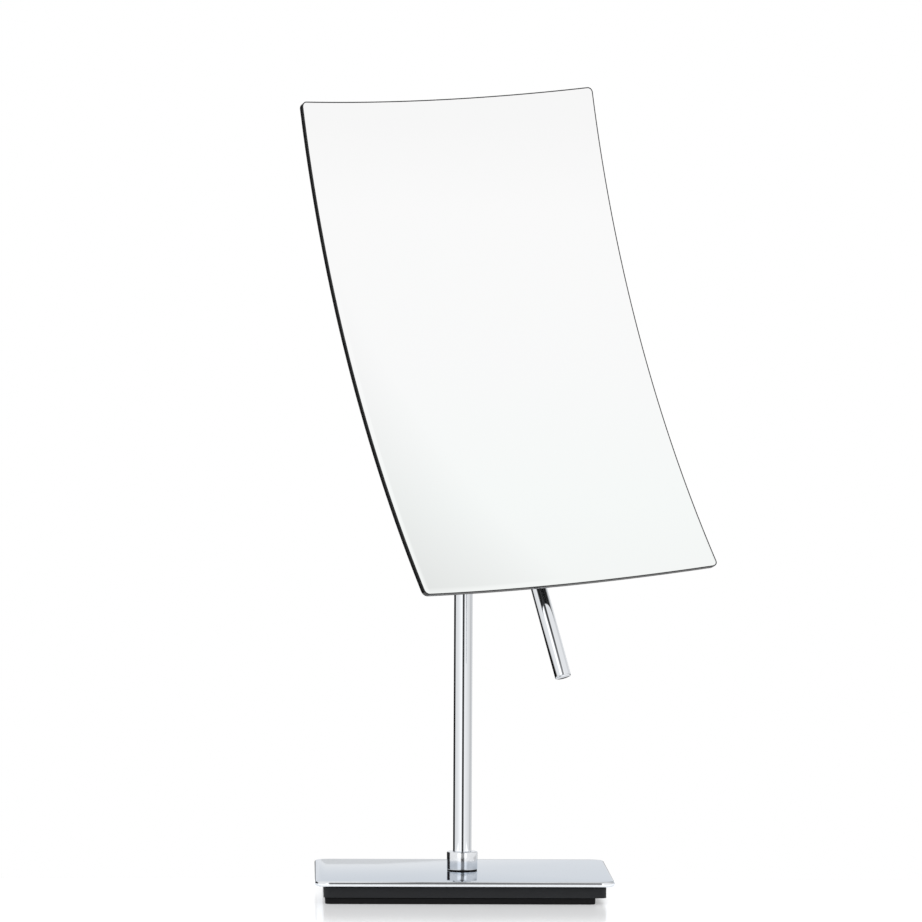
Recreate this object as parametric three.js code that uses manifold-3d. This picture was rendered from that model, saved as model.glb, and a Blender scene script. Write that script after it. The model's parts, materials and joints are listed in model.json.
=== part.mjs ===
// Free-standing magnifying mirror on a ball joint: a weighted rectangular base, a round stem, and a
// concave glass in a black shell with a hand lever. Millimetres, +Z up, origin under the stem's axis
// on the surface that the mirror stands on. The head is stored turned, tilted and rolled as in use.
import * as THREE from "three";
import { mergeVertices } from "three/addons/utils/BufferGeometryUtils.js";
import Module from "manifold-3d";

const wasm = await Module();
wasm.setup();

const DEG = Math.PI / 180;

// Fits
const RUN_GAP = 0.1; // radial gap of a shaft that turns in its bore
const SLIP_GAP = 0.1; // radial gap of a piece pushed into its neighbour
const SEAT_GAP = 0.3; // gap between pieces that meet inside the head
const LAYER_GAP = 0.1; // gap between the stacked sheets of the mirror
const HOLE_GAP = 0.2; // radial gap of a screw in its hole

// Base
const PAD_INSET = 3.3; // pad side behind the tray's side
const PAD_SETBACK = 0.5; // pad front behind the tray's front
const PAD_HEIGHT = 3.5;
const PAD_SHIFT = -2.5; // the pad is glued a little off the tray's centre
const PAD_CORNER = 3;
const TRAY_INSET = 4.5; // tray side behind the plate's side
const TRAY_SETBACK = 3.5; // tray front behind the plate's front
const TRAY_HEIGHT = 6;
const TRAY_CORNER = 3;
const TRAY_WALL = 9;
const TRAY_FLOOR = 2;
const REBATE_HEIGHT = 0.6; // shadow gap round the tray's top, under the plate
const REBATE_DEPTH = 1.5;
const BALLAST_GAP = 0.5;
const PLATE_WIDTH = 160;
const PLATE_DEPTH = 137;
const PLATE_THICKNESS = 3;
const PLATE_CORNER = 8;
const PLATE_EDGE = 1.3;
const TRAY_SCREW_RADIUS = 1.5;
const TRAY_SCREW_HEAD_RADIUS = 3;
const TRAY_SCREW_HEAD_HEIGHT = 2.2;
const TRAY_SCREW_MARGIN = 9; // from the pocket's wall to the screw's axis
const TRAY_SCREW_BITE = 2; // depth in the plate
const HEAD_ROOM = 1; // space around a screw's head

// Stem
const STEM_RADIUS = 5;
const STEM_WALL = 1;
const STEM_LENGTH = 254.3;
const COLLAR_RADIUS = 8.3;
const COLLAR_HEIGHT = 9.8;
const COLLAR_CHAMFER = 0.4;
const GASKET_RADIUS = 8.1;
const GASKET_THICKNESS = 0.5;
const PLUG_LENGTH = 20;
const STEM_SCREW_RADIUS = 3;
const STEM_SCREW_HEAD_RADIUS = 5.5;
const STEM_SCREW_HEAD_HEIGHT = 3.6;
const STEM_SCREW_BITE = 17; // depth in the stem's plug
const STEM_WASHER_RADIUS = 8;
const STEM_WASHER_THICKNESS = 1.2;

// Ball stud and its bush
const BALL_RADIUS = 7;
const BALL_ABOVE_STEM = 18; // from the stem's end to the ball's centre
const NECK_RADIUS = 3;
const SHANK_RADIUS = 2.5;
const SHOULDER_RADIUS = 4.5;
const SHOULDER_HEIGHT = 1.3;
const BUSH_LENGTH = 18;
const BUSH_FLANGE = 1.5;
const THRUST_WASHER = 0.6;
const THRUST_WASHER_RADIUS = 4.6;
const RING_THICKNESS = 1;
const RING_RADIUS = 3.7;
const GROOVE_DEPTH = 0.6;
const SHANK_TAIL = 2; // shank below the retaining ring

// Ball socket, along the mirror's axis from the ball's centre
const SOCKET_RADIUS = 13;
const SOCKET_WALL = 3.2;
const SOCKET_BACK_WALL = 2.2;
const FLANGE_RADIUS = 20.5;
const FLANGE_THICKNESS = 2.5;
const HUB_RADIUS = 26;
const HUB_THICKNESS = 3.5;
const HUB_SCREWS = 3;
const HUB_SCREW_RADIUS = 1.5;
const HUB_SCREW_HEAD_RADIUS = 2.7;
const HUB_SCREW_HEAD_HEIGHT = 2;
const HUB_SCREW_CIRCLE = 16.5;
const HUB_SCREW_BITE = 3;
const SPRING_THICKNESS = 0.9;
const SPRING_RISE = 2.4;
const SPRING_HOLE = 3.5;
const TILT_BACK = 52 * DEG; // how far the neck's slot reaches round the back
const ROLL_SWING = 10 * DEG; // how far the head rolls each way

// Mirror
const MIRROR_WIDTH = 186;
const MIRROR_HEIGHT = 278.8;
const MIRROR_CORNER = 3;
const MIRROR_RADIUS = 605; // radius of the glass's hollow front
const MIRROR_REACH = 28.2; // from the ball's centre to the middle of the glass's front
const RIM_WIDTH = 0.4; // the shell's wall narrows to this beside the glass
const GLASS_THICKNESS = 1.6;
const TAPE_THICKNESS = 0.3;
const TAPE_MARGIN = 4;
const SHELL_THICKNESS = 0.9;

// Hand lever
const HANDLE_RADIUS = 4.325;
const HANDLE_START = 14; // below the ball's centre
const HANDLE_END = 183;
const HANDLE_REACH = 13.4; // its axis in front of the ball's centre, at the ball's height
const HANDLE_LEAN = 1.61 * DEG;
const HANDLE_CHAMFER = 0.4;
const SLEEVE_WALL = 2.4;
const SLEEVE_END = 27;
const SET_SCREW_RADIUS = 1.4;
const SET_SCREW_DROP = 7; // from the rod's upper end to the set screw

// Stored pose of the head
const YAW = 29.46 * DEG;
const TILT = -21.14 * DEG;
const ROLL = -3.89 * DEG;

// Levels worked out from the sizes above
const TRAY_WIDTH = PLATE_WIDTH - 2 * TRAY_INSET;
const TRAY_DEPTH = PLATE_DEPTH - 2 * TRAY_SETBACK;
const PAD_WIDTH = TRAY_WIDTH - 2 * PAD_INSET;
const PAD_DEPTH = TRAY_DEPTH - 2 * PAD_SETBACK;
const POCKET_WIDTH = TRAY_WIDTH - 2 * TRAY_WALL;
const POCKET_DEPTH = TRAY_DEPTH - 2 * TRAY_WALL;
const TRAY_Z = PAD_HEIGHT;
const PLATE_Z = TRAY_Z + TRAY_HEIGHT;
const POCKET_TOP = PLATE_Z - TRAY_FLOOR;
const GASKET_Z = PLATE_Z + PLATE_THICKNESS;
const STEM_Z = GASKET_Z + GASKET_THICKNESS;
const STEM_TOP = STEM_Z + STEM_LENGTH;
const BORE_RADIUS = STEM_RADIUS - STEM_WALL;
const BUSH_TOP = STEM_TOP + BUSH_FLANGE;
const BUSH_BOTTOM = STEM_TOP - BUSH_LENGTH;
const SHOULDER_Z = BUSH_TOP + THRUST_WASHER;
const BALL_Z = STEM_TOP + BALL_ABOVE_STEM;
const CAVITY_RADIUS = SOCKET_RADIUS - SOCKET_WALL;
const SEAT_RADIUS = CAVITY_RADIUS - SEAT_GAP;
const SEAT_HOLLOW = BALL_RADIUS + SEAT_GAP;
const NECK_ROOM = NECK_RADIUS + 2 * SEAT_GAP;
const SHELL_BACK_RADIUS =
  MIRROR_RADIUS + GLASS_THICKNESS + TAPE_THICKNESS + 2 * LAYER_GAP + SHELL_THICKNESS;
const HUB_FRONT = MIRROR_REACH - (SHELL_BACK_RADIUS - MIRROR_RADIUS) - SEAT_GAP;
const HUB_BACK = HUB_FRONT - HUB_THICKNESS;
const FLANGE_FRONT = HUB_BACK - LAYER_GAP;
const FLANGE_BACK = FLANGE_FRONT - FLANGE_THICKNESS;
const SPRING_FRONT = FLANGE_FRONT - LAYER_GAP;
const SPRING_BACK = SPRING_FRONT - SPRING_RISE - SPRING_THICKNESS;
const FRONT_SEAT_FRONT = SPRING_BACK - SEAT_GAP;

// Materials
const metal = (color, roughness) => new THREE.MeshStandardMaterial({ color, roughness, metalness: 1 });
const plain = (color, roughness) => new THREE.MeshStandardMaterial({ color, roughness, metalness: 0 });
const CHROME = () => metal(0xd8dce0, 0.05);
const STEEL = () => metal(0x9a9da0, 0.35);
const BLACK_PLASTIC = () => plain(0x1b1c1d, 0.5);
const BLACK_GLOSS = () => plain(0x141516, 0.25);
const RUBBER = () => plain(0x121212, 0.8);
const NYLON = () => plain(0xe8e6dc, 0.45);
const TAPE = () => plain(0xd9d9d4, 0.7);
const SILVERED_GLASS = () => metal(0xf2f4f4, 0.02);

const part = new THREE.Group();

const seats = new THREE.Group(); // turned and tilted, not rolled
seats.position.set(0, 0, BALL_Z);
seats.rotation.set(TILT, 0, YAW, "ZXY");
part.add(seats);

const head = new THREE.Group(); // looks along -Y before it is turned
head.position.set(0, 0, BALL_Z);
head.rotation.set(TILT, ROLL, YAW, "ZXY");
part.add(head);

function addPiece(group, name, geometry, material) {
  const mesh = new THREE.Mesh(geometry, material());
  mesh.name = name;
  group.add(mesh);
}

// Solids for joining and cutting
function solidOf(geometry) {
  const bare = new THREE.BufferGeometry();
  bare.setAttribute("position", geometry.getAttribute("position"));
  bare.setIndex(geometry.index);
  const merged = mergeVertices(bare, 1e-4);
  return new wasm.Manifold(
    new wasm.Mesh({
      numProp: 3,
      vertProperties: merged.attributes.position.array,
      triVerts: new Uint32Array(merged.index.array),
    }),
  );
}

function geometryOf(solid) {
  const mesh = solid.getMesh();
  const geometry = new THREE.BufferGeometry();
  geometry.setAttribute("position", new THREE.BufferAttribute(mesh.vertProperties, 3));
  geometry.setIndex(new THREE.BufferAttribute(mesh.triVerts, 1));
  return geometry;
}

// geometry with each of the cutters taken away
function cut(geometry, ...cutters) {
  return geometryOf(cutters.reduce((solid, cutter) => solid.subtract(solidOf(cutter)), solidOf(geometry)));
}

// A profile of [radius, height] points turned about +Z; it runs up its outer side
function turned(profile, segments = 32) {
  const points = profile.map(([radius, height]) => new THREE.Vector2(radius, height));
  return new THREE.LatheGeometry(points, segments).rotateX(Math.PI / 2);
}

// A profile of [radius, distance] points turned about the mirror's axis, distance towards the viewer
function turnedForward(profile, segments = 32) {
  return turned(profile, segments).rotateX(Math.PI / 2);
}

function disc(radius, bottom, top, segments = 32) {
  return turned([[0, bottom], [radius, bottom], [radius, top], [0, top]], segments);
}

function ring(inner, outer, bottom, top, segments = 32) {
  return turned([[inner, bottom], [outer, bottom], [outer, top], [inner, top], [inner, bottom]], segments);
}

function arc(radius, from, to, steps) {
  return Array.from({ length: steps + 1 }, (_, i) => {
    const angle = from + ((to - from) * i) / steps;
    return [radius * Math.cos(angle), radius * Math.sin(angle)];
  });
}

function roundedRectangle(width, depth, corner) {
  const x = width / 2 - corner;
  const y = depth / 2 - corner;
  const shape = new THREE.Shape();
  shape.absarc(x, y, corner, 0, Math.PI / 2);
  shape.absarc(-x, y, corner, Math.PI / 2, Math.PI);
  shape.absarc(-x, -y, corner, Math.PI, 1.5 * Math.PI);
  shape.absarc(x, -y, corner, 1.5 * Math.PI, 2 * Math.PI);
  return shape;
}

function slab(width, depth, corner, bottom, top) {
  const options = { depth: top - bottom, bevelEnabled: false, curveSegments: 5 };
  return new THREE.ExtrudeGeometry(roundedRectangle(width, depth, corner), options).translate(0, 0, bottom);
}

// A screw pointing up: its head hangs below z, its shank rises by length
function screw(radius, headRadius, headHeight, length) {
  const recess = headHeight / 2;
  const key = headRadius / 2;
  return turned([
    [0, -headHeight + recess],
    [key, -headHeight + recess],
    [key, -headHeight],
    [headRadius, -headHeight],
    [headRadius, 0],
    [radius, 0],
    [radius, length],
    [0, length],
  ], 20);
}

// Base
const trayScrewPlaces = [[-1, -1], [1, -1], [-1, 1], [1, 1]].map(([sideX, sideY]) => [
  sideX * (POCKET_WIDTH / 2 - TRAY_SCREW_MARGIN),
  sideY * (POCKET_DEPTH / 2 - TRAY_SCREW_MARGIN),
]);
const atTrayScrews = (make) => trayScrewPlaces.map(([x, y]) => make().translate(x, y, 0));
const stemHole = () => disc(STEM_SCREW_RADIUS + HOLE_GAP, 0, STEM_Z + 1);

addPiece(part, "non_slip_pad",
  slab(PAD_WIDTH, PAD_DEPTH, PAD_CORNER, 0, PAD_HEIGHT).translate(PAD_SHIFT, 0, 0), RUBBER);

const rebate = cut(
  slab(PLATE_WIDTH, PLATE_DEPTH, TRAY_CORNER, PLATE_Z - REBATE_HEIGHT, PLATE_Z + 1),
  slab(TRAY_WIDTH - 2 * REBATE_DEPTH, TRAY_DEPTH - 2 * REBATE_DEPTH, TRAY_CORNER - REBATE_DEPTH,
    PLATE_Z - 2 * REBATE_HEIGHT, PLATE_Z + 2),
);
addPiece(part, "base_tray", cut(
  slab(TRAY_WIDTH, TRAY_DEPTH, TRAY_CORNER, TRAY_Z, PLATE_Z),
  rebate,
  slab(POCKET_WIDTH, POCKET_DEPTH, TRAY_CORNER, TRAY_Z - 1, POCKET_TOP),
  disc(STEM_WASHER_RADIUS + HEAD_ROOM, TRAY_Z, PLATE_Z + 1),
  ...atTrayScrews(() => disc(TRAY_SCREW_RADIUS + HOLE_GAP, TRAY_Z, PLATE_Z + 1, 16)),
), BLACK_PLASTIC);

addPiece(part, "ballast_plate", cut(
  slab(POCKET_WIDTH - 2 * BALLAST_GAP, POCKET_DEPTH - 2 * BALLAST_GAP, TRAY_CORNER,
    TRAY_Z + LAYER_GAP, POCKET_TOP - LAYER_GAP),
  disc(STEM_WASHER_RADIUS + HEAD_ROOM, TRAY_Z - 1, PLATE_Z),
  ...atTrayScrews(() => disc(TRAY_SCREW_HEAD_RADIUS + HEAD_ROOM, TRAY_Z - 1, PLATE_Z, 16)),
), STEEL);

const plateBlank = new THREE.ExtrudeGeometry(roundedRectangle(PLATE_WIDTH, PLATE_DEPTH, PLATE_CORNER), {
  depth: PLATE_THICKNESS - 2 * PLATE_EDGE,
  bevelThickness: PLATE_EDGE,
  bevelSize: PLATE_EDGE,
  bevelOffset: -PLATE_EDGE,
  bevelSegments: 3,
  curveSegments: 6,
}).translate(0, 0, PLATE_Z + PLATE_EDGE);
addPiece(part, "base_plate", cut(
  plateBlank,
  stemHole(),
  ...atTrayScrews(() => disc(TRAY_SCREW_RADIUS + HOLE_GAP, TRAY_Z, PLATE_Z + TRAY_SCREW_BITE + HOLE_GAP, 16)),
), CHROME);

trayScrewPlaces.forEach(([x, y], i) => addPiece(part, `tray_screw_${i + 1}`,
  screw(TRAY_SCREW_RADIUS, TRAY_SCREW_HEAD_RADIUS, TRAY_SCREW_HEAD_HEIGHT, TRAY_FLOOR + TRAY_SCREW_BITE)
    .translate(x, y, POCKET_TOP), STEEL));

// Stem
addPiece(part, "collar_gasket",
  ring(STEM_SCREW_RADIUS + HOLE_GAP, GASKET_RADIUS, GASKET_Z, STEM_Z), RUBBER);

const collarBore = STEM_RADIUS + SLIP_GAP;
const collarTop = STEM_Z + COLLAR_HEIGHT;
addPiece(part, "collar", turned([
  [collarBore, STEM_Z],
  [COLLAR_RADIUS - COLLAR_CHAMFER, STEM_Z],
  [COLLAR_RADIUS, STEM_Z + COLLAR_CHAMFER],
  [COLLAR_RADIUS, collarTop - COLLAR_CHAMFER],
  [COLLAR_RADIUS - COLLAR_CHAMFER, collarTop],
  [collarBore, collarTop],
  [collarBore, STEM_Z],
], 40), CHROME);

addPiece(part, "stem_tube", ring(BORE_RADIUS, STEM_RADIUS, STEM_Z, STEM_TOP, 40), CHROME);

addPiece(part, "stem_bottom_plug",
  ring(STEM_SCREW_RADIUS + SLIP_GAP, BORE_RADIUS - SLIP_GAP, STEM_Z, STEM_Z + PLUG_LENGTH), STEEL);

addPiece(part, "stem_washer", ring(STEM_SCREW_RADIUS + HOLE_GAP, STEM_WASHER_RADIUS,
  PLATE_Z - STEM_WASHER_THICKNESS, PLATE_Z), STEEL);

const stemScrewReach = STEM_WASHER_THICKNESS + PLATE_THICKNESS + GASKET_THICKNESS + STEM_SCREW_BITE;
addPiece(part, "stem_screw",
  screw(STEM_SCREW_RADIUS, STEM_SCREW_HEAD_RADIUS, STEM_SCREW_HEAD_HEIGHT, stemScrewReach)
    .translate(0, 0, PLATE_Z - STEM_WASHER_THICKNESS), STEEL);

const bushBore = SHANK_RADIUS + RUN_GAP;
const bushRadius = BORE_RADIUS - SLIP_GAP;
addPiece(part, "stem_top_bush", turned([
  [bushBore, BUSH_BOTTOM],
  [bushRadius, BUSH_BOTTOM],
  [bushRadius, STEM_TOP],
  [STEM_RADIUS, STEM_TOP],
  [STEM_RADIUS, BUSH_TOP],
  [bushBore, BUSH_TOP],
  [bushBore, BUSH_BOTTOM],
]), NYLON);

// Ball stud
const ringTop = BUSH_BOTTOM - SEAT_GAP;
const ringBottom = ringTop - RING_THICKNESS;
const grooveRadius = SHANK_RADIUS - GROOVE_DEPTH;
const grooveTop = ringTop + RUN_GAP;
const grooveBottom = ringBottom - RUN_GAP;
const neckAngle = -Math.acos(NECK_RADIUS / BALL_RADIUS);
addPiece(part, "ball_stud", turned([
  [0, grooveBottom - SHANK_TAIL],
  [SHANK_RADIUS, grooveBottom - SHANK_TAIL],
  [SHANK_RADIUS, grooveBottom],
  [grooveRadius, grooveBottom],
  [grooveRadius, grooveTop],
  [SHANK_RADIUS, grooveTop],
  [SHANK_RADIUS, SHOULDER_Z],
  [SHOULDER_RADIUS, SHOULDER_Z],
  [SHOULDER_RADIUS, SHOULDER_Z + SHOULDER_HEIGHT],
  [NECK_RADIUS, SHOULDER_Z + SHOULDER_HEIGHT],
  ...arc(BALL_RADIUS, neckAngle, Math.PI / 2, 14).map(([radius, height]) => [Math.max(radius, 0), BALL_Z + height]),
]), STEEL);

addPiece(part, "thrust_washer", ring(bushBore, THRUST_WASHER_RADIUS, BUSH_TOP, SHOULDER_Z), NYLON);

addPiece(part, "retaining_ring", ring(grooveRadius + RUN_GAP, RING_RADIUS, ringBottom, ringTop), STEEL);

// Room for the neck: it hangs straight down when the mirror is upright, and swings back as it tilts
function neckSlot(halfWidth, room) {
  const reach = 2 * SOCKET_RADIUS;
  const across = [room * Math.cos(TILT_BACK), room * Math.sin(TILT_BACK)];
  const along = [reach * Math.sin(TILT_BACK), -reach * Math.cos(TILT_BACK)];
  const outline = new THREE.Shape([
    new THREE.Vector2(-room, 0),
    new THREE.Vector2(-room, -reach),
    new THREE.Vector2(reach, -reach),
    new THREE.Vector2(across[0] + along[0], across[1] + along[1]),
    new THREE.Vector2(...across),
  ]);
  const sideways = new THREE.Matrix4().makeBasis(
    new THREE.Vector3(0, 1, 0), new THREE.Vector3(0, 0, 1), new THREE.Vector3(1, 0, 0));
  return new THREE.ExtrudeGeometry(outline, { depth: 2 * halfWidth, bevelEnabled: false })
    .applyMatrix4(sideways).translate(-halfWidth, 0, 0);
}

// Seats
const seatLip = NECK_ROOM;
addPiece(seats, "front_seat", turnedForward([
  ...arc(SEAT_HOLLOW, Math.PI / 2, Math.asin(seatLip / SEAT_HOLLOW), 8).map(([r, w]) => [Math.max(r, 0), w]),
  [SEAT_RADIUS, seatLip],
  [SEAT_RADIUS, FRONT_SEAT_FRONT],
  [0, FRONT_SEAT_FRONT],
]), NYLON);

// The cavity narrows towards the housing's round back, and the rear seat follows it
const wallRadius = SOCKET_RADIUS - SOCKET_BACK_WALL;
const coneStart = -Math.sqrt(wallRadius ** 2 - CAVITY_RADIUS ** 2);
const cavityFloor = 0.56 * CAVITY_RADIUS;
const cavityBack = -Math.sqrt(wallRadius ** 2 - cavityFloor ** 2);
const rearHollowEnd = -0.85 * SEAT_HOLLOW;
const rearHole = Math.sqrt(SEAT_HOLLOW ** 2 - rearHollowEnd ** 2);
const rearLip = -2 * SEAT_GAP;
addPiece(seats, "rear_seat", cut(
  turnedForward([
    [rearHole, cavityBack + SEAT_GAP],
    [cavityFloor - SEAT_GAP, cavityBack + SEAT_GAP],
    [SEAT_RADIUS, coneStart + SEAT_GAP],
    [SEAT_RADIUS, rearLip],
    ...arc(SEAT_HOLLOW, Math.asin(rearLip / SEAT_HOLLOW), Math.asin(rearHollowEnd / SEAT_HOLLOW), 6),
    [rearHole, cavityBack + SEAT_GAP],
  ]),
  neckSlot(NECK_RADIUS + SEAT_GAP, NECK_ROOM),
), NYLON);

// Housing, hub and spring
const screwTurns = Array.from({ length: HUB_SCREWS }, (_, i) => (2 * Math.PI * i) / HUB_SCREWS);
const forward = (geometry) => geometry.rotateX(Math.PI / 2);
const atHubScrew = (geometry, turn) =>
  geometry.translate(0, 0, HUB_SCREW_CIRCLE).rotateY(turn);
const hubHoles = (radius, from, to) =>
  screwTurns.map((turn) => atHubScrew(forward(disc(radius, from, to, 16)), turn));

const slotHalfWidth = NECK_ROOM + SOCKET_RADIUS * Math.sin(ROLL_SWING);
addPiece(head, "socket_housing", cut(
  turnedForward([
    ...arc(SOCKET_RADIUS, -Math.PI / 2, 0, 10).map(([radius, distance]) => [Math.max(radius, 0), distance]),
    [SOCKET_RADIUS, FLANGE_BACK],
    [FLANGE_RADIUS, FLANGE_BACK],
    [FLANGE_RADIUS, FLANGE_FRONT],
    [CAVITY_RADIUS, FLANGE_FRONT],
    [CAVITY_RADIUS, coneStart],
    [cavityFloor, cavityBack],
    [0, cavityBack],
  ]),
  neckSlot(slotHalfWidth, NECK_ROOM + SEAT_GAP),
  ...hubHoles(HUB_SCREW_RADIUS + HOLE_GAP, FLANGE_BACK - 1, FLANGE_FRONT + 1),
), CHROME);

addPiece(head, "spring_washer", turnedForward([
  [SPRING_HOLE, SPRING_BACK],
  [SEAT_RADIUS, SPRING_FRONT - SPRING_THICKNESS],
  [SEAT_RADIUS, SPRING_FRONT],
  [SPRING_HOLE, SPRING_BACK + SPRING_THICKNESS],
  [SPRING_HOLE, SPRING_BACK],
]), STEEL);

addPiece(head, "hub_plate", cut(
  turnedForward([[0, HUB_BACK], [HUB_RADIUS, HUB_BACK], [HUB_RADIUS, HUB_FRONT], [0, HUB_FRONT]], 40),
  ...hubHoles(HUB_SCREW_RADIUS + HOLE_GAP / 2, HUB_BACK - 1, HUB_BACK + HUB_SCREW_BITE + HOLE_GAP),
), STEEL);

screwTurns.forEach((turn, i) => addPiece(head, `hub_screw_${i + 1}`, atHubScrew(
  forward(screw(HUB_SCREW_RADIUS, HUB_SCREW_HEAD_RADIUS, HUB_SCREW_HEAD_HEIGHT,
    FLANGE_THICKNESS + LAYER_GAP + HUB_SCREW_BITE).translate(0, 0, FLANGE_BACK - LAYER_GAP / 2)),
  turn,
), STEEL));

// Mirror: sheets with one common centre of curvature, cut to the outline
const curvatureCentre = MIRROR_REACH + MIRROR_RADIUS;
const capReach = Math.hypot(MIRROR_WIDTH, MIRROR_HEIGHT) / 2 + 5;
function sheet(inner, outer, width, height, corner) {
  const spread = Math.asin(capReach / MIRROR_RADIUS);
  const bow = (radius, from, to) =>
    arc(radius, from, to, 8).map(([along, out]) => [Math.max(out, 0), curvatureCentre - along]);
  const cap = turnedForward([...bow(outer, 0, spread), ...bow(inner, spread, 0)], 40);
  const prism = forward(slab(width, height, corner, -MIRROR_REACH, MIRROR_RADIUS / 2));
  return solidOf(cap).intersect(solidOf(prism));
}

const pocketWidth = MIRROR_WIDTH - 2 * RIM_WIDTH;
const pocketHeight = MIRROR_HEIGHT - 2 * RIM_WIDTH;
const pocketCorner = MIRROR_CORNER - RIM_WIDTH;
const glassBack = MIRROR_RADIUS + GLASS_THICKNESS;
const tapeFront = glassBack + LAYER_GAP;
const tapeBack = tapeFront + TAPE_THICKNESS;
const pocketFloor = tapeBack + LAYER_GAP;
addPiece(head, "back_shell", geometryOf(
  sheet(MIRROR_RADIUS, SHELL_BACK_RADIUS, MIRROR_WIDTH, MIRROR_HEIGHT, MIRROR_CORNER)
    .subtract(sheet(MIRROR_RADIUS - 10, pocketFloor, pocketWidth, pocketHeight, pocketCorner))), BLACK_GLOSS);

addPiece(head, "glass_tape", geometryOf(sheet(tapeFront, tapeBack, pocketWidth - 2 * TAPE_MARGIN,
  pocketHeight - 2 * TAPE_MARGIN, pocketCorner)), TAPE);

addPiece(head, "mirror_glass", geometryOf(sheet(MIRROR_RADIUS, glassBack, pocketWidth - 2 * SLIP_GAP,
  pocketHeight - 2 * SLIP_GAP, pocketCorner)), SILVERED_GLASS);

// Hand lever, made hanging along -Z and then leant forward about the ball's height
const lean = (geometry) => geometry.rotateX(-HANDLE_LEAN).translate(0, -HANDLE_REACH, 0);
const sleeveRadius = HANDLE_RADIUS + SLIP_GAP + SLEEVE_WALL;
addPiece(head, "handle_rod", lean(turned([
  [0, -HANDLE_END],
  [HANDLE_RADIUS - HANDLE_CHAMFER, -HANDLE_END],
  [HANDLE_RADIUS, -HANDLE_END + HANDLE_CHAMFER],
  [HANDLE_RADIUS, -HANDLE_START - HANDLE_CHAMFER],
  [HANDLE_RADIUS - HANDLE_CHAMFER, -HANDLE_START],
  [0, -HANDLE_START],
])), CHROME);

const setScrewDepth = -(HANDLE_START + SET_SCREW_DROP);
const setScrewHole = (radius, from, to) =>
  lean(disc(radius, from, to, 16).rotateX(-Math.PI / 2).translate(0, 0, setScrewDepth));
addPiece(head, "handle_socket", cut(
  lean(ring(HANDLE_RADIUS + SLIP_GAP, sleeveRadius, -SLEEVE_END, 0)),
  forward(disc(SOCKET_RADIUS + LAYER_GAP, -SOCKET_RADIUS, FLANGE_FRONT, 64)),
  forward(disc(HUB_RADIUS + HEAD_ROOM, FLANGE_BACK - LAYER_GAP, HUB_FRONT)),
  setScrewHole(SET_SCREW_RADIUS + HOLE_GAP, 0, 2 * sleeveRadius),
), CHROME);

addPiece(head, "handle_set_screw",
  setScrewHole(SET_SCREW_RADIUS, HANDLE_RADIUS + SLIP_GAP, sleeveRadius - HOLE_GAP), STEEL);

export default part;
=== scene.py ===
import json
import math

import bmesh
import bpy
from mathutils import Matrix, Vector


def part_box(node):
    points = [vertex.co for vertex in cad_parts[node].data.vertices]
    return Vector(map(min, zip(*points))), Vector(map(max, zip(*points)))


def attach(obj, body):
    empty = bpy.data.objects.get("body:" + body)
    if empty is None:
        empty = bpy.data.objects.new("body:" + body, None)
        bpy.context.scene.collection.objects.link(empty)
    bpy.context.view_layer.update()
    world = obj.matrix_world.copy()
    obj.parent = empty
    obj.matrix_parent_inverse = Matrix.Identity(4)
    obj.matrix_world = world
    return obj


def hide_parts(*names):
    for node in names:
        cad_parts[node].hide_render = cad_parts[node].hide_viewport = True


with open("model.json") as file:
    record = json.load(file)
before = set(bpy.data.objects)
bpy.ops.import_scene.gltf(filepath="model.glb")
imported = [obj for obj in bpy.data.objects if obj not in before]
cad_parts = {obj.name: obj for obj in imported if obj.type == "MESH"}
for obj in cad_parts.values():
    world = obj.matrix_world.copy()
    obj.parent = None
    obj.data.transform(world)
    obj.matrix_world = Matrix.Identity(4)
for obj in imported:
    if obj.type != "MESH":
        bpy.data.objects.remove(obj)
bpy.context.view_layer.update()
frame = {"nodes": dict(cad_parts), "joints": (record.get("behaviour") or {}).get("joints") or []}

# All lengths are metres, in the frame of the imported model. Driving sizes:
MM = 0.001
ROUND_STEPS = 96  # facets round a turned piece
SHARP = math.radians(32)  # edges that turn more than this stay crisp
CORNER_TURN = math.radians(60)  # edges that turn more than this are a block's or a sheet's corners
PLATE_CORNER = 8 * MM
PLATE_EDGE = 1.3 * MM
TRAY_EDGE = 0.2 * MM
PAD_CORNER = 3 * MM
PAD_EDGE = 0.6 * MM
PLATE_HOLE = 3.2 * MM  # radius, for the screw that holds the stem
PLATE_HOLE_MARGIN = 5 * MM  # how far the hole's cutter reaches past the plate
STEM_WALL = 1 * MM
COLLAR_GAP = 0.1 * MM
COLLAR_EDGE = 0.45 * MM
MIRROR_WIDTH = 186 * MM
MIRROR_HEIGHT = 278.8 * MM
MIRROR_CORNER = 3 * MM
MIRROR_RADIUS = 605 * MM
MIRROR_REACH = 28.2 * MM
RIM_WIDTH = 0.4 * MM
RIM_EDGE = 0.1 * MM
GLASS_THICKNESS = 1.6 * MM
POCKET_DEPTH = 2.1 * MM  # behind the glass's front
SHELL_THICKNESS = 0.9 * MM
GLASS_GAP = 0.1 * MM
GLASS_EDGE = 0.25 * MM
SHEET_COLUMNS, SHEET_ROWS = 56, 82  # facets that carry the mirror's hollow
STORED_ROLL = math.radians(-3.89)
HANDLE_RADIUS = 4.325 * MM
HANDLE_START = 14 * MM
HANDLE_END = 183 * MM
HANDLE_REACH = 13.4 * MM
HANDLE_LEAN = math.radians(1.61)
HANDLE_EDGE = 0.5 * MM
SOCKET_RADIUS = 13 * MM
SOCKET_EDGE = 0.5 * MM
SOCKET_STEPS = 24  # facets along the housing's round back
CAVITY_RADIUS = 9.8 * MM
CAVITY_FLOOR = 5.488 * MM
CAVITY_BACK_RADIUS = 10.8 * MM
FLANGE_RADIUS = 20.5 * MM
FLANGE_BACK = 18.8 * MM
FLANGE_FRONT = 21.3 * MM
SLOT_HALF_WIDTH = 5.857 * MM
SLOT_ROOM = 3.9 * MM
SLOT_SWING = math.radians(52)


# --- The head's own axes: X across the mirror, -Y out of its front, Z up it ----------------------

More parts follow.
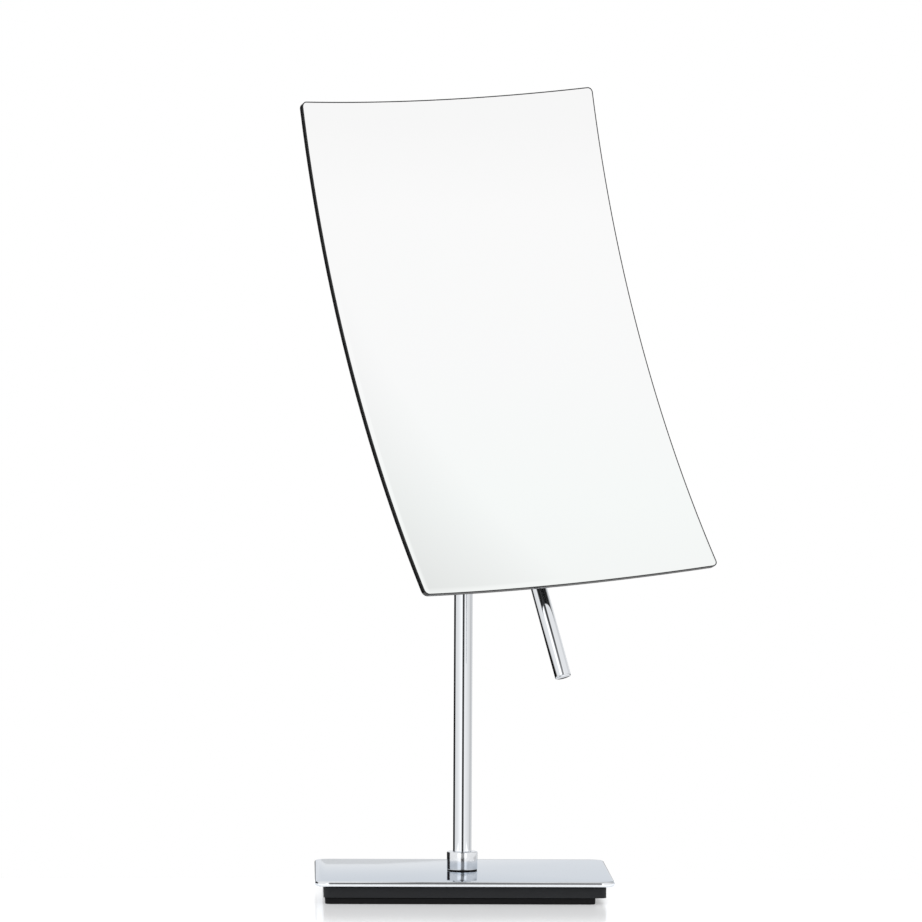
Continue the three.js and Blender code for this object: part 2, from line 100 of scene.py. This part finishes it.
joints = {joint["name"]: joint for joint in frame["joints"]}
pivot = Vector(joints["head_tilt"]["pos_m"])
across = Vector(joints["head_tilt"]["axis"])
backward = Vector(joints["head_roll"]["axis"])
unrolled = Matrix((across, backward, across.cross(backward))).transposed()
HEAD = Matrix.Translation(pivot) @ unrolled.to_4x4() @ Matrix.Rotation(STORED_ROLL, 4, "Y")
UPRIGHT = Matrix.Identity(4)


# --- Materials -----------------------------------------------------------------------------------

class Wire:
    """A shader socket that adds its Math node when it is used in an expression."""

    def __init__(self, look, socket):
        self.look = look
        self.socket = socket

    def _math(self, operation, first, second):
        return self.look.node("ShaderNodeMath", {"operation": operation}, {0: first, 1: second})

    def __add__(self, other):
        return self._math("ADD", self, other)

    def __sub__(self, other):
        return self._math("SUBTRACT", self, other)

    def __mul__(self, other):
        return self._math("MULTIPLY", self, other)

    def __rsub__(self, other):
        return self._math("SUBTRACT", other, self)

    def __neg__(self):
        return self._math("MULTIPLY", self, -1)

    def __abs__(self):
        return self._math("ABSOLUTE", self, 0)

    __radd__ = __add__
    __rmul__ = __mul__


class Look:
    """A node tree whose nodes are made by node()."""

    def __init__(self, tree):
        self.tree = tree
        tree.nodes.clear()

    def node(self, kind, settings=None, sockets=None, output=0):
        made = self.tree.nodes.new(kind)
        for name, value in (settings or {}).items():
            if name == "stops":
                self.set_stops(made.color_ramp, value)
            else:
                setattr(made, name, value)
        for name, value in (sockets or {}).items():
            if isinstance(value, Wire):
                self.tree.links.new(value.socket, made.inputs[name])
            else:
                made.inputs[name].default_value = value
        return Wire(self, made.outputs[output]) if made.outputs else made

    @staticmethod
    def set_stops(ramp, stops):
        while len(ramp.elements) < len(stops):
            ramp.elements.new(1)
        for element, (place, colour) in zip(ramp.elements, stops):
            element.position = place
            channels = colour if isinstance(colour, tuple) else (colour,) * 3
            element.color = (*channels, 1)

    def ramp(self, factor, stops):
        return self.node("ShaderNodeValToRGB", {"stops": stops}, {"Fac": factor})

    def rise(self, factor, low, high):
        """0 up to low and 1 from high on."""
        return self.ramp(factor, [(low, 0.0), (high, 1.0)])

    def fall(self, factor, low, high):
        """1 up to low and 0 from high on."""
        return self.ramp(factor, [(low, 1.0), (high, 0.0)])

    def place(self, scale=(1, 1, 1)):
        """The piece's own coordinates, in metres times scale."""
        spot = self.node("ShaderNodeTexCoord", output="Object")
        return self.node("ShaderNodeMapping", None, {"Vector": spot, "Scale": scale})

    def noise(self, scale, detail=3, stretch=(1, 1, 1), roughness=0.5):
        return self.node("ShaderNodeTexNoise", None, {
            "Vector": self.place(stretch), "Scale": scale, "Detail": detail, "Roughness": roughness})

    def bump(self, height, distance, strength=1):
        return self.node(
            "ShaderNodeBump", None, {"Height": height, "Distance": distance, "Strength": strength})

    def tint(self, factor, first, second):
        return self.node(
            "ShaderNodeMix", {"data_type": "RGBA"}, {0: factor, 6: (*first, 1), 7: (*second, 1)},
            output=2)


def surface(name, constants, paint=None):
    """A Principled material: constants go on its sockets, and paint(look) gives what varies."""
    material = bpy.data.materials.new(name)
    material.use_nodes = True
    look = Look(material.node_tree)
    varying = paint(look) if paint else {}
    shader = look.node("ShaderNodeBsdfPrincipled", None, {**constants, **varying})
    look.node("ShaderNodeOutputMaterial", None, {"Surface": shader})
    return material


def polish(look, clear, smudged):
    """Nearly even gloss with faint smears where it has been wiped, and a very fine grain."""
    worn = look.rise(look.noise(26, 4, (1, 1, 0.45), 0.6), 0.35, 0.75)
    fine = look.noise(5200, 2)
    return {
        "Roughness": worn * (smudged - clear) + clear,
        "Normal": look.bump(fine, 0.0006 * MM),
    }


def chrome(name, colour, edge_colour, clear, smudged):
    constants = {"Metallic": 1.0, "Specular Tint": (*edge_colour, 1)}
    darker = tuple(0.985 * c for c in colour)

    def paint(look):
        shade = look.tint(look.noise(14, 2), darker, colour)
        return {"Base Color": shade, **polish(look, clear, smudged)}

    return surface(name, constants, paint)


def collar_metal():
    def paint(look):
        grain = look.noise(2600, 3, (1, 1, 0.12))
        patches = look.noise(420, 3)
        return {
            "Base Color": look.tint(patches, (0.70, 0.715, 0.74), (0.84, 0.855, 0.875)),
            "Roughness": grain * 0.10 + 0.07,
            "Normal": look.bump(grain, 0.004 * MM),
        }

    return surface("satin_collar", {"Metallic": 1.0, "Specular Tint": (0.85, 0.87, 0.9, 1)}, paint)


def glass_mirror():
    def paint(look):
        reflection_band_wobble = look.noise(7, 2)
        smears = look.rise(look.noise(38, 4, (1, 1, 0.5), 0.62), 0.55, 0.85)
        spot = look.node("ShaderNodeTexCoord", output="Object")
        height = look.node("ShaderNodeSeparateXYZ", None, {"Vector": spot}, output="Z")
        return {
            # Painted reflection: the base colour is greenish grey low on the mirror, lighter higher
            # up and a little darker again at the top
            "Base Color": look.ramp(height + reflection_band_wobble * 0.02, [
                (0.18, (0.905, 0.925, 0.915)), (0.22, (0.920, 0.945, 0.935)),
                (0.30, (0.945, 0.950, 0.950)), (0.38, (0.955, 0.955, 0.955)),
                (0.43, (0.93, 0.93, 0.93))]),
            "Roughness": smears * 0.02 + 0.004,
        }

    return surface("silvered_glass", {"Metallic": 1.0}, paint)


def black_plastic():
    def paint(look):
        grain = look.noise(2400, 4, roughness=0.6)
        mottle = look.noise(60, 3)
        return {
            "Base Color": look.tint(mottle, (0.0135, 0.0145, 0.0165), (0.0175, 0.0185, 0.0205)),
            "Roughness": grain * 0.18 + 0.42,
            "Normal": look.bump(grain, 0.02 * MM),
        }

    return surface("black_plastic", {"Specular IOR Level": 0.25}, paint)


def gloss_black():
    def paint(look):
        mottle = look.noise(40, 3)
        grain = look.noise(3200, 3)
        smears = look.rise(look.noise(30, 4, (1, 1, 0.5), 0.6), 0.4, 0.8)
        return {
            "Base Color": look.tint(mottle, (0.0085, 0.009, 0.0095), (0.0115, 0.012, 0.0125)),
            "Roughness": smears * 0.08 + 0.2,
            "Normal": look.bump(grain, 0.002 * MM),
        }

    return surface("gloss_black", {}, paint)


def black_foam():
    def paint(look):
        cells = look.node(
            "ShaderNodeTexVoronoi", {"feature": "F1"}, {"Vector": look.place(), "Scale": 1500})
        mottle = look.noise(900, 4, roughness=0.65)
        return {
            "Base Color": look.tint(mottle, (0.002, 0.002, 0.0022), (0.007, 0.007, 0.0075)),
            "Roughness": mottle * 0.15 + 0.75,
            "Normal": look.bump(cells, 0.05 * MM),
        }

    return surface("black_foam", {"Specular IOR Level": 0.25}, paint)


def plain_steel():
    def paint(look):
        cuts = look.noise(1900, 3, (0.15, 0.15, 1))
        patches = look.noise(120, 3)
        return {
            "Base Color": look.tint(patches, (0.50, 0.51, 0.52), (0.60, 0.61, 0.62)),
            "Roughness": cuts * 0.18 + 0.22,
            "Normal": look.bump(cuts, 0.004 * MM),
        }

    return surface("plain_steel", {"Metallic": 1.0}, paint)


def soft_white(name, pale, deep, roughness):
    def paint(look):
        mottle = look.noise(300, 3)
        grain = look.noise(2600, 3)
        return {
            "Base Color": look.tint(mottle, deep, pale),
            "Roughness": grain * 0.12 + roughness,
            "Normal": look.bump(grain, 0.012 * MM),
        }

    return surface(name, {}, paint)


CHROME_COLOUR = (0.765, 0.785, 0.81)
PLATE_CHROME = chrome("plate_chrome", CHROME_COLOUR, (0.70, 0.74, 0.79), 0.035, 0.07)
TUBE_CHROME = chrome("tube_chrome", CHROME_COLOUR, (0.92, 0.93, 0.95), 0.02, 0.04)
HOUSING_CHROME = chrome("housing_chrome", CHROME_COLOUR, (0.9, 0.92, 0.94), 0.03, 0.06)
COLLAR_METAL = collar_metal()
GLASS = glass_mirror()
PLASTIC = black_plastic()
GLOSS_BLACK = gloss_black()
FOAM = black_foam()
STEEL = plain_steel()
NYLON = soft_white("nylon", (0.80, 0.79, 0.74), (0.74, 0.73, 0.68), 0.38)
TAPE = soft_white("foam_tape", (0.78, 0.78, 0.76), (0.7, 0.7, 0.68), 0.6)


# --- Making pieces -------------------------------------------------------------------------------

def turned(profile, closed=False):
    """A bmesh of [radius, height] points turned about Z."""
    bm = bmesh.new()
    points = [bm.verts.new((radius, 0, height)) for radius, height in profile]
    after = points[1:] + points[:1] if closed else points[1:]
    lines = [bm.edges.new(pair) for pair in zip(points, after)]
    bmesh.ops.spin(
        bm, geom=points + lines, cent=(0, 0, 0), axis=(0, 0, 1), dvec=(0, 0, 0),
        angle=2 * math.pi, steps=ROUND_STEPS, use_merge=True, use_duplicate=False)
    bmesh.ops.remove_doubles(bm, verts=bm.verts, dist=1e-7)
    bmesh.ops.recalc_face_normals(bm, faces=bm.faces)
    return bm


def soften(bm, width, turn=math.radians(40), segments=3):
    """Rounds every edge that turns more than turn."""
    edges = [e for e in bm.edges if len(e.link_faces) == 2 and e.calc_face_angle() > turn]
    bmesh.ops.bevel(
        bm, geom=edges, offset=width, offset_type="OFFSET", segments=segments, profile=0.5,
        affect="EDGES", clamp_overlap=True, material=-1)
    return bm


def slab(low, high, corner, edge):
    """A block between two corners, with rounded corners in plan and rounded rims."""
    size = high - low
    bm = bmesh.new()
    bmesh.ops.create_cube(
        bm, size=1, matrix=Matrix.Translation((low + high) / 2) @ Matrix.Diagonal((*size, 1)))
    uprights = [e for e in bm.edges if abs(e.verts[0].co.z - e.verts[1].co.z) > size.z / 2]
    bmesh.ops.bevel(
        bm, geom=uprights, offset=corner, offset_type="OFFSET", segments=14, profile=0.5,
        affect="EDGES", clamp_overlap=True, material=-1)
    return soften(bm, edge, CORNER_TURN, 6)


def finished(bm, name, body, material, place=UPRIGHT, stands_for=()):
    """Makes the bmesh an object that rides on body and stands for the named nodes."""
    bmesh.ops.remove_doubles(bm, verts=bm.verts, dist=1e-7)
    bm.transform(place)
    for face in bm.faces:
        face.smooth = True
    for edge in bm.edges:
        edge.smooth = len(edge.link_faces) == 2 and edge.calc_face_angle() < SHARP
    mesh = bpy.data.meshes.new(name)
    bm.to_mesh(mesh)
    bm.free()
    piece = bpy.data.objects.new(name, mesh)
    bpy.context.scene.collection.objects.link(piece)
    mesh.materials.append(material)
    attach(piece, body)
    if stands_for:
        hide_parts(*stands_for)
    return piece


def carve(bm, *cutters):
    """Takes each cutter's shape away from bm."""
    mesh = bpy.data.meshes.new("carving")
    bm.to_mesh(mesh)
    bm.free()
    body = bpy.data.objects.new("carving", mesh)
    bpy.context.scene.collection.objects.link(body)
    tools = []
    for cutter in cutters:
        tool_mesh = bpy.data.meshes.new("tool")
        cutter.to_mesh(tool_mesh)
        cutter.free()
        tool = bpy.data.objects.new("tool", tool_mesh)
        bpy.context.scene.collection.objects.link(tool)
        tools.append(tool)
        cut = body.modifiers.new("cut", "BOOLEAN")
        cut.operation = "DIFFERENCE"
        cut.solver = "EXACT"
        cut.object = tool
    bpy.context.view_layer.update()
    result = bpy.data.meshes.new_from_object(
        body.evaluated_get(bpy.context.evaluated_depsgraph_get()))
    carved = bmesh.new()
    carved.from_mesh(result)
    for used in [body, *tools]:
        bpy.data.objects.remove(used)
    return carved


def rod(radius, bottom, top):
    return turned([(0, bottom), (radius, bottom), (radius, top), (0, top)])


def sleeve(bore, radius, bottom, top):
    return turned([(bore, bottom), (radius, bottom), (radius, top), (bore, top)], closed=True)


# --- Stand ---------------------------------------------------------------------------------------

plate_low, plate_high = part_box("base_plate")
pad_low, pad_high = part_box("non_slip_pad")
stem_low, stem_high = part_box("stem_tube")
collar_low, collar_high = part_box("collar")


def make_stand():
    screw_hole = rod(PLATE_HOLE, plate_low.z - PLATE_HOLE_MARGIN, plate_high.z + PLATE_HOLE_MARGIN)
    finished(
        carve(slab(plate_low, plate_high, PLATE_CORNER, PLATE_EDGE), screw_hole),
        "polished_plate", "stand", PLATE_CHROME, stands_for=["base_plate"])
    finished(
        slab(pad_low, pad_high, PAD_CORNER, PAD_EDGE),
        "foot_pad", "stand", FOAM, stands_for=["non_slip_pad"])
    stem = stem_high.x
    finished(
        sleeve(stem - STEM_WALL, stem, stem_low.z, stem_high.z),
        "stem", "stand", TUBE_CHROME, stands_for=["stem_tube"])
    finished(
        soften(sleeve(stem + COLLAR_GAP, collar_high.x, collar_low.z, collar_high.z), COLLAR_EDGE),
        "stem_collar", "stand", COLLAR_METAL, stands_for=["collar"])


# --- Mirror --------------------------------------------------------------------------------------

def bowl(bm):
    """Bends a flat sheet in the XZ plane to the mirror's hollow; a point's Y is how far its layer
    lies behind the glass's front."""
    for vert in bm.verts:
        radius = MIRROR_RADIUS + vert.co.y
        drop = MIRROR_RADIUS - math.sqrt(radius ** 2 - vert.co.x ** 2 - vert.co.z ** 2)
        vert.co.y = -(MIRROR_REACH + drop)


def flat_sheet(width, height, corner):
    """A rectangle in the XZ plane facing -Y, with round corners."""
    bm = bmesh.new()
    bmesh.ops.create_grid(
        bm, x_segments=SHEET_COLUMNS, y_segments=SHEET_ROWS, size=0.5,
        matrix=Matrix.Rotation(math.pi / 2, 4, "X") @ Matrix.Diagonal((width, height, 1, 1)))
    tips = [v for v in bm.verts if len(v.link_edges) == 2]
    bmesh.ops.bevel(
        bm, geom=tips, offset=corner, offset_type="OFFSET", segments=8, profile=0.5,
        affect="VERTICES", clamp_overlap=True, material=-1)
    return bm


def push_out(bm, faces, step):
    """Extrudes the faces by the vector step."""
    made = bmesh.ops.extrude_face_region(bm, geom=faces)
    moved = [g for g in made["geom"] if isinstance(g, bmesh.types.BMVert)]
    bmesh.ops.translate(bm, verts=moved, vec=step)


def thicken(bm, depth):
    """Gives a flat sheet a back that lies depth behind it."""
    push_out(bm, bm.faces[:], (0, depth, 0))
    bmesh.ops.recalc_face_normals(bm, faces=bm.faces)


def make_glass():
    gap = RIM_WIDTH + GLASS_GAP
    bm = flat_sheet(MIRROR_WIDTH - 2 * gap, MIRROR_HEIGHT - 2 * gap, MIRROR_CORNER - gap)
    thicken(bm, GLASS_THICKNESS)
    soften(bm, GLASS_EDGE, CORNER_TURN, 2)
    bowl(bm)
    finished(bm, "concave_glass", "mirror_head", GLASS, HEAD, ["mirror_glass"])


def make_shell():
    """A tray whose narrow rim ends level with the glass."""
    bm = flat_sheet(MIRROR_WIDTH, MIRROR_HEIGHT, MIRROR_CORNER)
    thicken(bm, POCKET_DEPTH + SHELL_THICKNESS)
    floor = [f for f in bm.faces if f.normal.y < -0.5]
    bmesh.ops.inset_region(
        bm, faces=floor, thickness=RIM_WIDTH, use_even_offset=True, use_boundary=True)
    push_out(bm, floor, (0, POCKET_DEPTH, 0))
    bmesh.ops.delete(bm, geom=floor, context="FACES")
    bmesh.ops.recalc_face_normals(bm, faces=bm.faces)
    soften(bm, RIM_EDGE, CORNER_TURN, 4)
    bowl(bm)
    finished(bm, "mirror_shell", "mirror_head", GLOSS_BLACK, HEAD, ["back_shell"])


# --- Ball joint and hand lever -------------------------------------------------------------------

FORWARD = Matrix.Rotation(math.pi / 2, 4, "X")  # turns a piece's +Z to the head's front, -Y


def slot_cutter():
    """Room for the ball's neck from straight down to the back of the housing."""
    reach = 2 * SOCKET_RADIUS
    sine, cosine = math.sin(SLOT_SWING), math.cos(SLOT_SWING)
    outline = [
        (-SLOT_ROOM, 0), (-SLOT_ROOM, -reach), (reach, -reach),
        (SLOT_ROOM * cosine + reach * sine, SLOT_ROOM * sine - reach * cosine),
        (SLOT_ROOM * cosine, SLOT_ROOM * sine),
    ]
    bm = bmesh.new()
    face = bm.faces.new([bm.verts.new((-SLOT_HALF_WIDTH, y, z)) for y, z in outline])
    push_out(bm, [face], (2 * SLOT_HALF_WIDTH, 0, 0))
    bmesh.ops.recalc_face_normals(bm, faces=bm.faces)
    return bm


def make_housing():
    turns = [math.pi / 2 * (step / SOCKET_STEPS - 1) for step in range(SOCKET_STEPS + 1)]
    back = [(SOCKET_RADIUS * math.cos(turn), SOCKET_RADIUS * math.sin(turn)) for turn in turns]
    back[0] = (0, -SOCKET_RADIUS)
    cone_start = -math.sqrt(CAVITY_BACK_RADIUS ** 2 - CAVITY_RADIUS ** 2)
    cavity_back = -math.sqrt(CAVITY_BACK_RADIUS ** 2 - CAVITY_FLOOR ** 2)
    bm = turned(back + [
        (SOCKET_RADIUS, FLANGE_BACK), (FLANGE_RADIUS, FLANGE_BACK), (FLANGE_RADIUS, FLANGE_FRONT),
        (CAVITY_RADIUS, FLANGE_FRONT), (CAVITY_RADIUS, cone_start), (CAVITY_FLOOR, cavity_back),
        (0, cavity_back)])
    soften(bm, SOCKET_EDGE)
    bm.transform(FORWARD)
    finished(
        carve(bm, slot_cutter()),
        "ball_housing", "mirror_head", HOUSING_CHROME, HEAD, ["socket_housing"])


def make_handle():
    bm = soften(rod(HANDLE_RADIUS, -HANDLE_END, -HANDLE_START), HANDLE_EDGE)
    bm.transform(Matrix.Translation((0, -HANDLE_REACH, 0)) @ Matrix.Rotation(-HANDLE_LEAN, 4, "X"))
    finished(bm, "hand_lever", "mirror_head", TUBE_CHROME, HEAD, ["handle_rod"])


def make_refined(node, body, material, edge):
    """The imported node's own shape with its hard edges eased."""
    bm = bmesh.new()
    bm.from_mesh(frame["nodes"][node].data)
    bmesh.ops.remove_doubles(bm, verts=bm.verts, dist=1e-6)
    bmesh.ops.dissolve_limit(
        bm, angle_limit=math.radians(1), use_dissolve_boundaries=False,
        verts=bm.verts, edges=bm.edges)
    soften(bm, edge, math.radians(50), 2)
    finished(bm, node + "_finished", body, material, stands_for=[node])


make_stand()
make_glass()
make_shell()
make_housing()
make_handle()
for node, body, slot, material, edge in [
    ("base_tray", "stand", "black_plastic", PLASTIC, TRAY_EDGE),
    ("hub_plate", "mirror_head", "plain_steel", STEEL, 0.5 * MM),
    ("handle_socket", "mirror_head", "polished_chrome", HOUSING_CHROME, 0.2 * MM),
]:
    make_refined(node, body, material, edge)

for node, material in {
    "ballast_plate": STEEL, "tray_screw_1": STEEL, "tray_screw_2": STEEL, "tray_screw_3": STEEL,
    "tray_screw_4": STEEL, "collar_gasket": FOAM, "stem_bottom_plug": STEEL, "stem_washer": STEEL,
    "stem_screw": STEEL, "stem_top_bush": NYLON, "ball_stud": STEEL, "thrust_washer": NYLON,
    "retaining_ring": STEEL, "front_seat": NYLON, "rear_seat": NYLON, "spring_washer": STEEL,
    "hub_screw_1": STEEL, "hub_screw_2": STEEL, "hub_screw_3": STEEL, "glass_tape": TAPE,
    "handle_set_screw": STEEL,
}.items():
    slots = frame["nodes"][node].data.materials
    slots.clear()
    slots.append(material)


# --- Studio --------------------------------------------------------------------------------------

CAMERA_SIDE = math.radians(-1.478)  # how far the camera stands round towards -X
CAMERA_PITCH = math.radians(1.557)
CAMERA_ROLL = math.radians(-0.274)
CAMERA_DISTANCE = 3.4781
CAMERA_AIM = Vector((-0.00164, 0, 0.23491))
CAMERA_LENS = 250.332


def make_camera():
    data = bpy.data.cameras.new("camera")
    data.lens = CAMERA_LENS
    data.clip_end = 60
    camera = bpy.data.objects.new("camera", data)
    bpy.context.scene.collection.objects.link(camera)
    ahead = Vector((
        -math.sin(CAMERA_SIDE) * math.cos(CAMERA_PITCH),
        math.cos(CAMERA_SIDE) * math.cos(CAMERA_PITCH),
        -math.sin(CAMERA_PITCH)))
    level = Vector((math.cos(CAMERA_SIDE), math.sin(CAMERA_SIDE), 0))
    down = ahead.cross(level)
    right = level * math.cos(CAMERA_ROLL) + down * math.sin(CAMERA_ROLL)
    below = down * math.cos(CAMERA_ROLL) - level * math.sin(CAMERA_ROLL)
    turn = Matrix((right, -below, -ahead)).transposed().to_4x4()
    camera.matrix_world = Matrix.Translation(CAMERA_AIM - ahead * CAMERA_DISTANCE) @ turn
    bpy.context.scene.camera = camera


FLOOR_CENTRE = Vector((0, -0.065, 0))
FLOOR_HALF_SIZE = (0.262, 0.14)
FLOOR_GLOW = 0.33  # light that the floor gives by itself, as seen beside the base's shadow
FLOOR_GLOW_CLEAR_OF_PAINTED_REFLECTION = 0.15  # more of it past the ends of the base, so the floor in line with the base stays darker: a painted reflection and shadow of the base
FLOOR_GLOW_MIRRORED = 0.6  # what polished pieces see of it


def make_floor():
    bm = bmesh.new()
    bmesh.ops.create_grid(
        bm, x_segments=1, y_segments=1, size=1,
        matrix=Matrix.Translation(FLOOR_CENTRE) @ Matrix.Diagonal((*FLOOR_HALF_SIZE, 1, 1)))
    mesh = bpy.data.meshes.new("floor")
    bm.to_mesh(mesh)
    bm.free()
    floor = bpy.data.objects.new("floor", mesh)
    bpy.context.scene.collection.objects.link(floor)

    def paint(look):
        seen = look.node("ShaderNodeLightPath", output="Is Camera Ray")
        mirrored = look.node("ShaderNodeLightPath", output="Is Glossy Ray")
        spot = look.node("ShaderNodeTexCoord", output="Object")
        side = look.node("ShaderNodeSeparateXYZ", None, {"Vector": spot}, output="X")
        # The floor in line with the base glows less than the floor past its ends: painted reflection
        # and shadow of the base
        clear_of_painted_reflection = look.rise(abs(side), 82 * MM, 98 * MM)
        glow = seen * (clear_of_painted_reflection * FLOOR_GLOW_CLEAR_OF_PAINTED_REFLECTION + FLOOR_GLOW)
        return {
            "Emission Strength": glow + mirrored * FLOOR_GLOW_MIRRORED,
            "Base Color": look.tint(look.noise(3, 2), (0.79, 0.80, 0.815), (0.81, 0.82, 0.835)),
        }

    mesh.materials.append(surface(
        "pale_floor", {"Roughness": 0.16, "IOR": 1.4, "Emission Color": (1, 1, 1, 1)}, paint))


# The room that polished pieces reflect. Angles are degrees round from the camera, negative on the
# left, and heights are sines. An arc fades in over its first two angles and out over its last two.
HORIZON = [  # brightness a little below the horizon, by angle
    (-180, 1.0), (-112, 0.92), (-90, 0.92), (-60, 1.0), (-40, 1.14), (-20, 1.28), (20, 1.2),
    (32, 1.06), (60, 0.98), (90, 0.86), (104, 0.66), (124, 0.66), (136, 0.95), (150, 0.9),
    (162, 0.35), (180, 0.2)]
HORIZON_PEAK = 1.3
GAP = (-9.2, -6.8, 15.8, 18.2)  # dark gap between the two front softboxes
RAISED_GAP = (-16, -13, 20, 23)  # the same gap is wider high up
UNLIT_CORNER = (-155, -150, -107.2, -104.8)
UNLIT_REAR = (-178, -176, -152, -148)
RIGHT_WALL = (84, 135, 174, 176)
FRONT = (-40, -30, 30, 40)
DIFFUSE_LEVEL = 0.62  # what matte pieces get from the room


def turn_share(degrees):
    return degrees / 360 + 0.5


def make_room():
    world = bpy.data.worlds.new("room")
    bpy.context.scene.world = world
    world.use_nodes = True
    look = Look(world.node_tree)
    direction = look.node("ShaderNodeTexCoord", output="Generated")
    x, y, height = (
        look.node("ShaderNodeSeparateXYZ", None, {"Vector": direction}, output=axis)
        for axis in "XYZ")
    angle = look.node("ShaderNodeMath", {"operation": "ARCTAN2"}, {0: x, 1: -y}) - CAMERA_SIDE
    where = angle * (0.5 / math.pi) + 0.5

    def arc(angles):
        return look.ramp(where, [(turn_share(a), b) for a, b in zip(angles, (0.0, 1.0, 1.0, 0.0))])

    horizon = look.ramp(
        where, [(turn_share(a), b / HORIZON_PEAK) for a, b in HORIZON]) * HORIZON_PEAK
    above = look.rise(height + 0.1, 0.08, 0.12)
    room = horizon * (1 - above) + above
    front_reach = look.fall(height, 0.8, 0.9)
    room = room * (1 - arc(GAP) * front_reach * (0.95 - above * 0.2))
    room = room * (1 - arc(RAISED_GAP) * front_reach * look.rise(height, 0.3, 0.4) * 0.75)
    room = room * (1 - arc(UNLIT_CORNER) * look.fall(height, 0.3, 0.4) * 0.98)
    room = room * (1 - arc(UNLIT_REAR) * (1 - above) * 0.98)
    room = room * (1 - arc(RIGHT_WALL) * look.rise(height, 0.15, 0.25) * 0.38)
    room = room * (1 - look.rise(-height, 0.17, 0.22) * 0.95)  # nearly dark far below the horizon
    table = look.rise(where, turn_share(156), turn_share(160)) * look.rise(-height, 0.38, 0.43)
    room = room * (1 - table) + table * 0.9
    front = arc(FRONT)
    room = room * (1 + front * (1 - front_reach) * 0.36)
    low_front = look.ramp(height, [(0.0, 0.0), (0.04, 1.0), (0.3, 1.0), (0.4, 0.0)])
    room = room * (1 + front * low_front * 0.5)

    camera, glossy, through = (
        look.node("ShaderNodeLightPath", output=f"Is {ray} Ray")
        for ray in ("Camera", "Glossy", "Transmission"))
    shiny = 1 - (1 - glossy) * (1 - through)
    strength = camera + (1 - camera) * (shiny * room + (1 - shiny) * DIFFUSE_LEVEL)
    background = look.node(
        "ShaderNodeBackground", None, {"Color": (1, 1, 1, 1), "Strength": strength})
    look.node("ShaderNodeOutputWorld", None, {"Surface": background})


def make_lamp(name, place, size, power):
    data = bpy.data.lights.new(name, "AREA")
    data.size = size
    data.energy = power
    lamp = bpy.data.objects.new(name, data)
    bpy.context.scene.collection.objects.link(lamp)
    lamp.location = place
    lamp.rotation_euler = (Vector((0, 0, 0.2)) - Vector(place)).to_track_quat("-Z", "Y").to_euler()
    lamp.visible_glossy = False


make_camera()
make_floor()
make_room()
make_lamp("left_softbox", (-1.2, -1.3, 1.4), 1.2, 9)
make_lamp("right_softbox", (1.4, -1.0, 1.1), 1.2, 6)
bpy.context.scene.view_settings.view_transform = "Standard"
